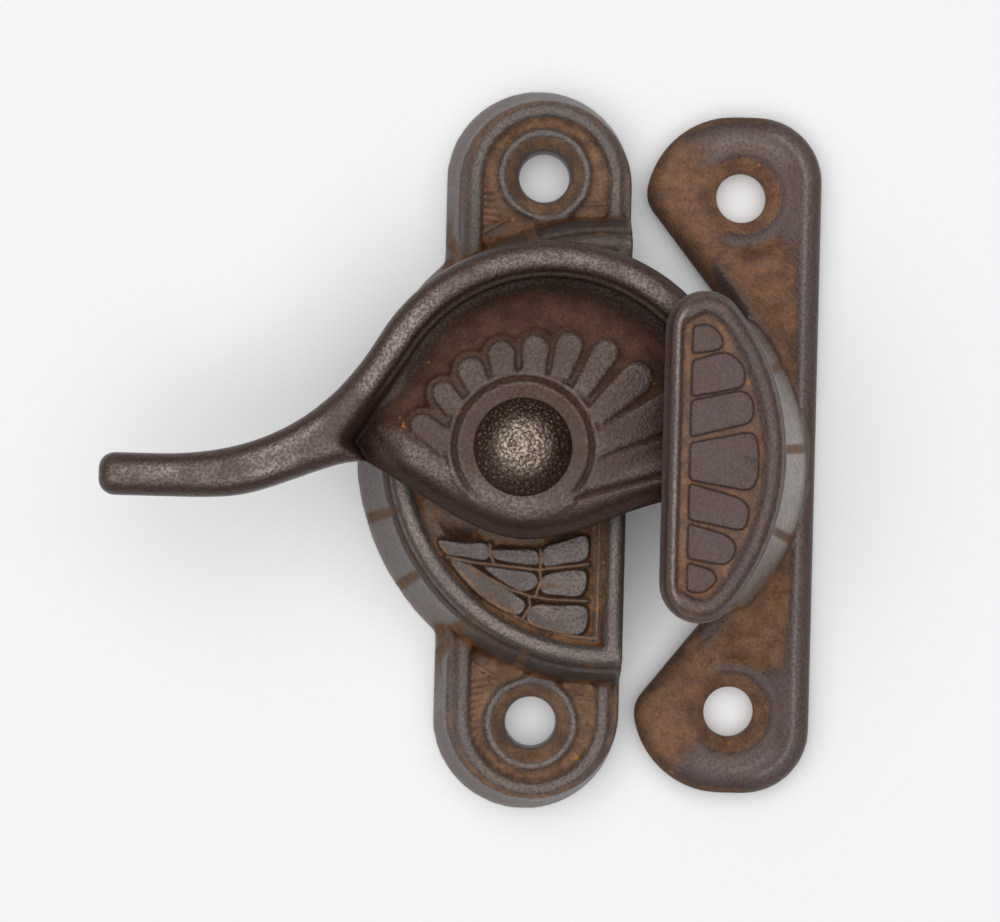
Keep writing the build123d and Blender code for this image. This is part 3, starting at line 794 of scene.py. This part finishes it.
def makeLever():
    its = own(leverParts)
    piece = castingCopy("lever", "leverCasting")
    outline = footLines(piece, its.foot, [its.pivot], its.holeSkip)
    slabFromFoot(piece, its.foot, its.slab)
    applyModifier(piece, "REMESH", mode="VOXEL", voxel_size=its.firstVoxel)
    spots = surfaceOf(piece)[0]
    form = leverHeights(spots, outline)
    share = np.clip((spots[:, 2] - its.foot) / its.slab, 0, 1)
    spots[:, 2] = form.foot + share * (form.top - form.foot)
    moveTo(piece, spots)
    joinInto(piece, leverPetals())
    melt(piece, its.voxel, its.smoothSteps)
    spots, normals = surfaceOf(piece)
    form = leverHeights(spots, outline)
    inDish, inside, fromRim = form.inDish, form.fromOutline, form.fromRim
    lidLine = swell(awayFrom(spots, lineBits(its.lidLine)), its.lidLineWidth)
    depth = np.maximum(its.lidLineDepth * lidLine, its.hubGrooveDepth * form.cut)
    spots[:, 2] -= depth * inDish * (spots[:, 2] > its.cutAbove) * (normals[:, 2] > 0.3)
    moveTo(piece, spots)
    maps = reliefMaps(piece)
    across, along, level = spots.T
    above = level - form.bowl
    loops = [tongueOutline(*petal) for petal in its.petals]
    petals = raisedCells(spots, loops, its.petalSoft) * ease(above, *its.petalStart)
    deep = fade(above, its.deepEnd) * ease(inside, *its.deepIn) * (1 - petals)
    hubRing = fade(planReach(spots, its.pivot), its.ringEnd) * ease(along, *its.ringFrom)
    creases = np.maximum(form.cut, lidLine)
    maps["stain"] = inDish * most(its.dishRust * deep, its.creaseRust * creases, its.ringRust * hubRing)
    # painted shade: the dish darkened beside the rim, in its left corner and on the belly's down-turned
    # edge, with a painted shadow of the keeper's cap at its right end; the bar darkened on its inner and
    # outer slopes
    besideRim = fade(fromRim, its.rimShade) * (1 - petals) * (inside > its.rimShadeIn)
    fewer = its.rimSoot - its.rimSootLeft
    besideRim *= its.rimSoot - fewer * ease(-across, *its.rimShadeLeft)
    underCap = its.underCapSoot * ease(across, *its.underCap) * (inside > its.underCapIn)
    leftEnd = its.leftSoot * ease(-across, *its.leftEnd)
    belly = its.bellySoot * fade(inside, its.bellyEnd)
    # a thin painted highlight along the lip of the rim's inner edge
    lip = swell(fromRim - its.lipIn, its.lipWidth) * ~inDish * ease(along, *its.lipFrom)
    innerSide = its.innerSoot * fade(fromRim, its.innerSide) * (1 - lip)
    outerSide = its.outerSoot * fade(inside, its.outerSide)
    dishShade = most(besideRim, underCap, leftEnd, belly)
    maps["paintedShade"] = np.where(inDish, dishShade, np.maximum(innerSide, outerSide))
    # painted highlight: the rim is lightened most at its top and where it runs into the handle
    rimTurn = planTurn(spots, its.rimCentre)
    glints = [share * swell(rimTurn - turn, width) for turn, width, share in its.rimGlints]
    glint = np.max(glints + [ease(-across, *its.handleGlint)], axis=0)
    onBar = ease(level, *its.barStart) * ease(form.barEdge, *its.barIn)
    onBar *= its.glintLow + its.glintRise * glint
    # painted highlight on the lid's crown and band, with relief raised under it so that it takes
    crown = ease(inside, *its.crownStart)
    lidBand = inDish * crown * fade(inside, its.lidBandEnd) * (1 - lidLine)
    lidBand *= fade(-across, its.lidBandLeft)
    litAndRubbed = np.maximum(its.crownShine * crown, its.lidBandShine * lidBand)
    maps["polish"] = np.maximum(np.where(inDish, litAndRubbed, onBar), lip)
    maps["relief"] = most(maps["relief"], its.lidBandRelief * lidBand, its.lipRelief * lip)
    maps["edge"] = np.where(inDish & (inside < its.plainEdge), np.minimum(maps["edge"], 0), maps["edge"])
    thinOut(piece, maps, its.triangles)
    finishPiece(piece, "lever", "cast_iron", agedIron("leverIron", leverLook), "lever")


# keeper casting

keeperParts = {
    "plateVoxel": 0.2, "firstVoxel": 0.26, "voxel": 0.17, "smoothSteps": 3, "triangles": 150000,
    "holes": [(19.196, 24.95), (19.196, -24.95)], "holeRadius": 2.45, "holeSkip": 3.0, "plateTop": 3.2,
    "sinkFoot": 1.9, "sinkSoft": 0.35, "edgeRound": 2.4, "edgeDepth": 1.7, "bossEnd": (4.2, 5.6),
    "bossRise": 0.18,
    # the valley runs from each screw to the hood, and starts further out on the left
    "valley": 0.95, "valleyEdge": (1.9, 4.4), "valleyStart": (4.7, 6.2), "valleyLeft": (5.0, 10.0),
    "valleyTurn": (70, 120), "hoodward": (19.0, 22.5), "rightSide": (20.5, 23.0),
    "ridgeIn": 1.6, "ridgeWidth": 0.55, "ridgeRise": 0.3, "bankRise": 0.25,
    "hoodCentre": (5.6, -1.2), "plainPlate": (19.6, 20.6), "plainTop": 3.7, "plainSink": 0.7,
    "hoodLevels": (3.6, 15.6), "hoodReach": 15.0, "hoodLean": 0.02,
    "hoodTurns": [53, 29.5, 5.4, -20, -45], "hoodGrooveWidth": 0.6, "hoodGrooveDepth": 0.16,
    "flare": 0.9, "flareLevels": (2.6, 15.6), "flareEnd": (3.0, 15.0), "flareFacing": 0.15,
    "flareLow": (15, 45), "flareLess": 0.5,
    "capChord": 11.7, "capTop": 19.4, "capCentre": (1.6, -0.55), "capRadius": 20.6, "capCorner": 3.2,
    "capShift": 0.65, "capStretch": 1.027, "capStart": (13.5, 16.0),
    "beadDepth": 0.25, "crownIn": 0.5, "crownFurther": 0.45, "crownFrom": (1.0, 2.0), "beadFall": 0.36,
    "chordBead": 1.0, "arcBead": 1.9, "panelCorner": 1.9,
    "capFloor": 18.8, "cellRise": 0.45, "cellSoft": 0.13, "cellLeft": 13.6,
    "capSlack": 0.25, "cornerLeft": 0.4, "cornerRight": 0.9, "cellsAbove": 18.5,
    # corners of the seven cells of the cap, from the top down
    "cells": [
        [(13.6, 8.1), (13.6, 10.65), (15.3, 10.85), (16.4, 9.6), (16.3, 8.55)],
        [(13.6, 4.2), (13.6, 7.5), (16.7, 8.45), (18.35, 7.2), (18.5, 5.2)],
        [(13.6, 0.55), (13.6, 3.85), (18.3, 4.95), (19.3, 4.0), (19.25, 2.0)],
        [(13.6, -3.35), (13.6, 0.0), (19.2, 1.2), (19.8, 0.2), (19.9, -3.0), (19.2, -4.25)],
        [(13.6, -6.95), (13.6, -3.65), (18.4, -4.9), (19.2, -5.9), (18.8, -7.9)],
        [(13.6, -10.5), (13.6, -7.3), (17.3, -8.3), (18.15, -9.4), (17.3, -11.05)],
        [(13.6, -13.45), (13.6, -10.85), (15.9, -11.45), (16.45, -12.4), (15.2, -13.65)],
    ],
    # where rust, painted shade and painted highlight lie
    "wallLevels": ((3.2, 4.6), (15.6, 16.0)), "wallFacing": (0.05, 0.3), "grooveCore": (0.25, 0.6),
    "beadStart": (18.95, 19.2), "beadCrest": (19.2, 19.35), "chordEnd": (12.4, 13.2), "lobeTop": 4.5,
    "wallShine": 0.8, "ridgeShine": 0.3, "arcShine": 0.12, "chordShine": 0.6, "ridgeGlint": 0.5,
    "rubbedRelief": 0.11, "capFrom": 18.4, "capEdge": (-0.02, 0.02), "cellEdge": 0.012,
    "lobeEdge": (-0.025, 0.016), "lobeEnd": (3.6, 5.0), "leftAbove": (112, 155), "leftBelow": (88, 130),
    "sheenReach": 5.4, "sheenWidth": 0.8,
    "sheenTurns": ((20, 50), (115, 145)), "sheenShine": 0.3, "sheenRelief": 0.07,
    "inwardTurn": (25, 60), "inwardReach": (4.2, 5.4), "inwardEdge": (1.2, 2.2), "ridgeClean": (1.9, 2.7),
    "sinkEnd": (3.5, 4.0), "leftEdge": (0.3, 1.0), "sideRust": 0.95, "sinkRust": 0.9, "edgeRust": 0.75,
    "thinRust": 0.1, "grooveRust": 0.75, "floorLevels": ((18.5, 18.7), (18.95, 19.15)),
    "floorFlat": (0.5, 0.9), "floorRust": 0.6, "arcRust": 0.18, "arcSoot": 0.22,
    "edgeShade": (0.3, 1.6), "edgeSoot": 0.4, "edgeLess": 0.6,
    "lowEnd": (12.0, 20.0), "lowSoot": 0.13,
}


def lobeShape(spots, outline):
    # distances that the lobes' form and rust go by
    its = own(keeperParts)
    fromHole = np.full(len(spots), 1e9)
    bearing = np.zeros(len(spots))
    for hole in its.holes:
        here = planReach(spots, hole)
        bearing = np.where(here < fromHole, planTurn(spots, hole) * np.sign(hole[1]), bearing)
        fromHole = np.minimum(fromHole, here)
    return SimpleNamespace(edge=awayFrom(spots, outline), hole=fromHole, bearing=bearing,
                           right=ease(spots[:, 0], *its.rightSide),
                           toHood=fade(np.abs(spots[:, 1]), its.hoodward))


def lobeHeight(form):
    its = own(keeperParts)
    slope = its.edgeDepth / its.edgeRound
    top = its.plateTop - roundOff(form.edge, its.edgeRound) * slope
    top += its.bossRise * fade(form.hole, its.bossEnd)
    leftward = ease(-form.bearing, *its.valleyTurn)
    start = ease(form.hole, *its.valleyStart)
    start += leftward * (ease(form.hole, *its.valleyLeft) - start)
    top -= its.valley * ease(form.edge, *its.valleyEdge) * start * form.toHood
    along = swell(form.edge - its.ridgeIn, its.ridgeWidth)
    top += its.ridgeRise * form.right * along
    top += its.bankRise * (1 - form.right) * form.toHood * along
    sink = its.sinkFoot + (form.hole - its.holeRadius)
    soft = its.sinkSoft
    return -soft * np.log(np.exp(-top / soft) + np.exp(-sink / soft))  # the lower of the two, blended


def besidePanelGroove(spots):
    # distance along the hood's wall to the nearest groove
    its = own(keeperParts)
    turn = planTurn(spots, its.hoodCentre)
    nearTurn = np.min([np.abs(turn - groove) for groove in its.hoodTurns], axis=0)
    return np.radians(nearTurn) * planReach(spots, its.hoodCentre)


def capOutline(chordIn, arcIn, radius):
    # flat side to the left, long arc to the right, rounded where they meet
    its = own(keeperParts)
    x, y = its.capCentre
    reach = its.capRadius - arcIn
    cornerX = its.capChord + chordIn + radius
    cornerY = math.sqrt((reach - radius) ** 2 - (cornerX - x) ** 2)
    turn = math.atan2(cornerY, cornerX - x)
    loop = [(x + reach * math.cos(t), y + reach * math.sin(t)) for t in np.linspace(-turn, turn, 40)]
    for side, first, last in ((1, turn, math.pi), (-1, math.pi, 2 * math.pi - turn)):
        loop += [(cornerX + radius * math.cos(t), y + side * cornerY + radius * math.sin(t))
                 for t in np.linspace(first, last, 12)]
    return [(here, y + (there - y) * its.capStretch) for here, there in loop]


def keeperPlate(outline):
    its = own(keeperParts)
    plate = castingCopy("keeper", "keeperPlate")
    slabFromFoot(plate, 0.0, its.plateTop)
    applyModifier(plate, "REMESH", mode="VOXEL", voxel_size=its.plateVoxel)
    spots = surfaceOf(plate)[0]
    spots[:, 2] *= lobeHeight(lobeShape(spots, outline)) / its.plateTop
    moveTo(plate, spots)
    return plate


def shapeHood(spots, normals):
    its = own(keeperParts)
    across, along, level = spots.T
    # the cap sits a little higher than its hood and is a little longer
    aside = along - its.hoodCentre[1]
    along += ease(level, *its.capStart) * (aside * (its.capStretch - 1) + its.capShift)
    fromHood = planReach(spots, its.hoodCentre)
    # the rolled lobes of the new plate stand over the plain one
    beyond = ease(fromHood, *its.plainPlate) * (level < its.plainTop)
    level *= 1 - its.plainSink * beyond
    # grooves that part the panels of the hood's wall
    turn = planTurn(spots, its.hoodCentre)
    width = its.hoodGrooveWidth
    depth = its.hoodGrooveDepth * (1 - ease(besidePanelGroove(spots), width / 2, width))
    farOut = fromHood > its.hoodReach
    outward = between(level, its.hoodLevels) & farOut & (normals[:, 2] > its.hoodLean)
    outward &= normals[:, 0] * (across - its.hoodCentre[0]) > 0
    spots -= normals * (depth * outward)[:, None]
    # the wall flares towards its foot, less at its lower end
    away = (spots[:, :2] - np.array(its.hoodCentre)) / np.maximum(fromHood, 1.0)[:, None]
    onFlare = np.einsum("ij,ij->i", away, normals[:, :2]) > its.flareFacing
    onFlare &= farOut & between(level, its.flareLevels)
    flare = its.flare * fade(level, its.flareEnd)
    flare *= 1 - its.flareLess * ease(-turn, *its.flareLow)
    spots[:, :2] += away * (flare * onFlare)[:, None]
    # the cap's rim is a round bead
    rimLoop = capOutline(0.0, 0.0, its.capCorner)
    beadEdge = awayFrom(spots, lineBits(rimLoop + rimLoop[:1]))
    onBead = (level > its.capTop - its.beadDepth) & (normals[:, 2] > 0.5)
    crown = its.crownFurther * ease(across - its.capChord, *its.crownFrom) + its.crownIn
    level -= its.beadFall * np.clip(np.abs(beadEdge - crown) / crown, 0, 1) ** 2 * onBead
    panel = capOutline(its.chordBead, its.arcBead, its.panelCorner)
    sunk = insideLoop(spots, panel) & (level > its.capFloor) & (normals[:, 2] > 0.1)
    level[sunk] = its.capFloor


def onCap(middles, normals):
    return flatAt(middles, normals, keeperParts["capFloor"], keeperParts["capSlack"], 0.8)


def makeKeeper():
    its = own(keeperParts)
    piece = castingCopy("keeper", "keeperCasting")
    outline = footLines(piece, 0.0, its.holes, its.holeSkip)
    plate = keeperPlate(outline)
    melt(piece, its.firstVoxel, its.smoothSteps)
    spots, normals = surfaceOf(piece)
    shapeHood(spots, normals)
    moveTo(piece, spots)
    joinInto(piece, [plate])
    melt(piece, its.voxel, its.smoothSteps)
    refine(piece, onCap)
    spots, normals = surfaceOf(piece)
    loops = []
    for cell in its.cells:
        corners = [(x, y + its.capShift) for x, y in cell]
        radii = [its.cornerLeft if x <= its.cellLeft else its.cornerRight for x, y in cell]
        loops.append(roundedLoop(corners, radii))
    cells = raisedCells(spots, loops, its.cellSoft) * (spots[:, 2] > its.cellsAbove)
    cellTop = its.capFloor + its.cellRise
    spots[:, 2] += np.maximum(cellTop - spots[:, 2], 0) * cells * (normals[:, 2] > 0.2)
    moveTo(piece, spots)
    maps = reliefMaps(piece)
    spots, normals = surfaceOf(piece)
    form = lobeShape(spots, outline)
    level, edge, right, bearing = spots[:, 2], form.edge, form.right, form.bearing
    low = level < its.lobeTop
    # painted reflection on the hood's wall, and painted highlight along the right ridge, on the cap bead's
    # crest and in a sheen on the outer side of each screw hole, with relief raised so that it takes
    onWall = band(level, *its.wallLevels) * ease(normals[:, 0], *its.wallFacing)
    inGroove = onWall * fade(besidePanelGroove(spots), its.grooveCore)
    onCell = cells > 0.1
    chordSide = fade(spots[:, 0], its.chordEnd)
    onArc = ease(level, *its.beadStart) * ~onCell * (1 - chordSide)
    crest = ease(level, *its.beadCrest) * ~onCell * (its.arcShine + its.chordShine * chordSide)
    rightRidge = swell(edge - its.ridgeIn, its.ridgeGlint) * right * low
    sheen = swell(form.hole - its.sheenReach, its.sheenWidth) * band(bearing, *its.sheenTurns) * low
    maps["polish"] = most(its.wallShine * onWall, its.ridgeShine * rightRidge, crest, its.sheenShine * sheen)
    litAndRubbed = its.rubbedRelief * np.maximum(onWall * (1 - inGroove), rightRidge)
    maps["relief"] = most(maps["relief"], litAndRubbed, its.sheenRelief * sheen)
    lowest, highest = its.capEdge
    calm = np.clip(maps["edge"], lowest, np.where(onCell, its.cellEdge, highest))
    plain = np.where(low, np.clip(maps["edge"], *its.lobeEdge), maps["edge"])
    maps["edge"] = np.where(level > its.capFrom, calm, plain)
    # rust lies left of the screws, in their sinks and down the valley; the top and right stay grey
    onLobe = fade(level, its.lobeEnd)
    leftward = np.where(bearing > 0, ease(bearing, *its.leftAbove), ease(-bearing, *its.leftBelow))
    inward = ease(-bearing, *its.inwardTurn) * ease(form.hole, *its.inwardReach)
    inward *= ease(edge, *its.inwardEdge)
    inSink = fade(form.hole, its.sinkEnd)
    leftEdge = fade(edge, its.leftEdge) * (1 - right)
    rusty = most(its.sideRust * leftward, its.sideRust * inward, its.sinkRust * inSink,
                 its.edgeRust * leftEdge)
    rusty *= 1 - fade(edge, its.ridgeClean) * right
    onFloor = band(level, *its.floorLevels) * ease(normals[:, 2], *its.floorFlat)
    maps["stain"] = most(onLobe * np.maximum(rusty, its.thinRust), its.grooveRust * inGroove,
                         its.floorRust * onFloor, its.arcRust * onArc)
    # painted shade on the lobes' rolled edges and on the arc side of the cap's bead, and plain darkening
    # towards the lower end, carried in the same map
    edgeShade = fade(edge, its.edgeShade) * onLobe * (1 - its.edgeLess * right)
    lowEnd = onLobe * ease(-spots[:, 1], *its.lowEnd)
    maps["paintedShade"] = most(its.edgeSoot * edgeShade, its.arcSoot * onArc, its.lowSoot * lowEnd)
    thinOut(piece, maps, its.triangles)
    finishPiece(piece, "base", "cast_iron", agedIron("keeperIron", keeperLook), "keeper")


# rivet head

rivetParts = {
    "voxel": 0.085, "smoothSteps": 2, "triangles": 80000, "centre": (-1.5, 0.0), "headStart": (13.3, 13.8),
    "pebble": 3.3, "pebbleHeight": 0.14, "shineEnd": (1.4, 3.4), "headRelief": 0.1,
}


def makeRivet():
    its = own(rivetParts)
    piece = castingCopy("pivot_rivet", "rivetHead")
    melt(piece, its.voxel, its.smoothSteps)
    spots, normals = surfaceOf(piece)
    onHead = ease(spots[:, 2], *its.headStart)
    pebbles = np.array([noise.noise(Vector(s) * its.pebble) for s in spots])
    spots += normals * (pebbles * onHead * its.pebbleHeight)[:, None]
    moveTo(piece, spots)
    maps = reliefMaps(piece)
    maps["stain"] = maps["paintedShade"] = np.zeros(len(spots))
    # painted highlight centred on the dome, with relief raised so that it takes
    maps["polish"] = onHead * fade(planReach(spots, its.centre), its.shineEnd)
    maps["relief"] = np.maximum(maps["relief"], its.headRelief * onHead)
    thinOut(piece, maps, its.triangles)
    finishPiece(piece, "lever", "rivet_iron", agedIron("rivetIron", rivetLook), "pivot_rivet")


# studio: pale floor, soft light, camera over the table

studio = {
    "floorSize": 1.6, "floorGap": 0.00002, "floorColour": (0.9, 0.9, 0.905), "floorRough": 0.9,
    "glow": 0.915, "lift": 0.03, "worldStrength": 0.1,
    "lampSpot": (-0.05, 0.03, 0.75), "lampSize": 1.8, "lampPower": 14.7,
    "cameraSpot": (-0.00408, -0.00453, 0.270), "aim": (-0.00358, -0.0012, 0.0), "roll": 1.5,
    "focal": 99.6, "sensor": 36.0,
}


def makeStudio():
    its = own(studio)
    pick()
    bpy.ops.mesh.primitive_grid_add(x_subdivisions=8, y_subdivisions=8, size=its.floorSize)
    floor = bpy.context.object
    floor.name = "paleFloor"
    floor.data.transform(Matrix.Translation((0, 0, -its.floorGap)))  # a hair below the flat feet
    b = NodeBench("floorPaper")
    b.shader.inputs["Base Color"].default_value = (*its.floorColour, 1)
    b.shader.inputs["Roughness"].default_value = its.floorRough
    glow = b.add("ShaderNodeEmission")
    glow.inputs["Color"].default_value = (its.glow,) * 3 + (1,)
    path = b.add("ShaderNodeLightPath")
    seen = b.math("MAXIMUM", path.outputs["Is Camera Ray"], path.outputs["Is Glossy Ray"])
    blend = b.add("ShaderNodeMixShader")
    b.feed(blend.inputs[0], b.times(seen, its.lift))
    b.feed(blend.inputs[1], b.shader.outputs[0])
    b.feed(blend.inputs[2], glow.outputs[0])
    b.feed(b.tree.nodes["Material Output"].inputs["Surface"], blend.outputs[0])
    floor.data.materials.append(b.material)
    world = bpy.data.worlds.new("softRoom")
    scene.world = world
    world.use_nodes = True
    sky = world.node_tree.nodes["Background"]
    sky.inputs["Color"].default_value = (1, 1, 1, 1)
    sky.inputs["Strength"].default_value = its.worldStrength
    lamp = bpy.data.lights.new("overhead", "AREA")
    lamp.size = its.lampSize
    lamp.energy = its.lampPower
    holder = place("overhead", lamp)
    holder.location = its.lampSpot
    holder.rotation_euler = (-Vector(its.lampSpot)).to_track_quat("-Z", "Y").to_euler()
    lens = bpy.data.cameras.new("tableCamera")
    lens.lens = its.focal
    lens.sensor_width = its.sensor
    camera = place("tableCamera", lens)
    turn = math.radians(its.roll)
    back = (Vector(its.cameraSpot) - Vector(its.aim)).normalized()
    up = Vector((-math.sin(turn), math.cos(turn), 0))
    right = up.cross(back).normalized()
    up = back.cross(right)
    camera.matrix_world = Matrix((right, up, back)).transposed().to_4x4()
    camera.location = its.cameraSpot
    scene.camera = camera
    scene.view_settings.view_transform = "Standard"
    print("studio ready")


makeStudio()
makeBase()
makeLever()
makeKeeper()
makeRivet()
hiddenIron = agedIron("hiddenIron", dict(rivetLook, wear=0.0))
for nodeName in ("detent_cam", "rivet_washer", "leaf_spring"):
    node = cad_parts[nodeName]
    node.data.materials.clear()
    node.data.materials.append(hiddenIron)
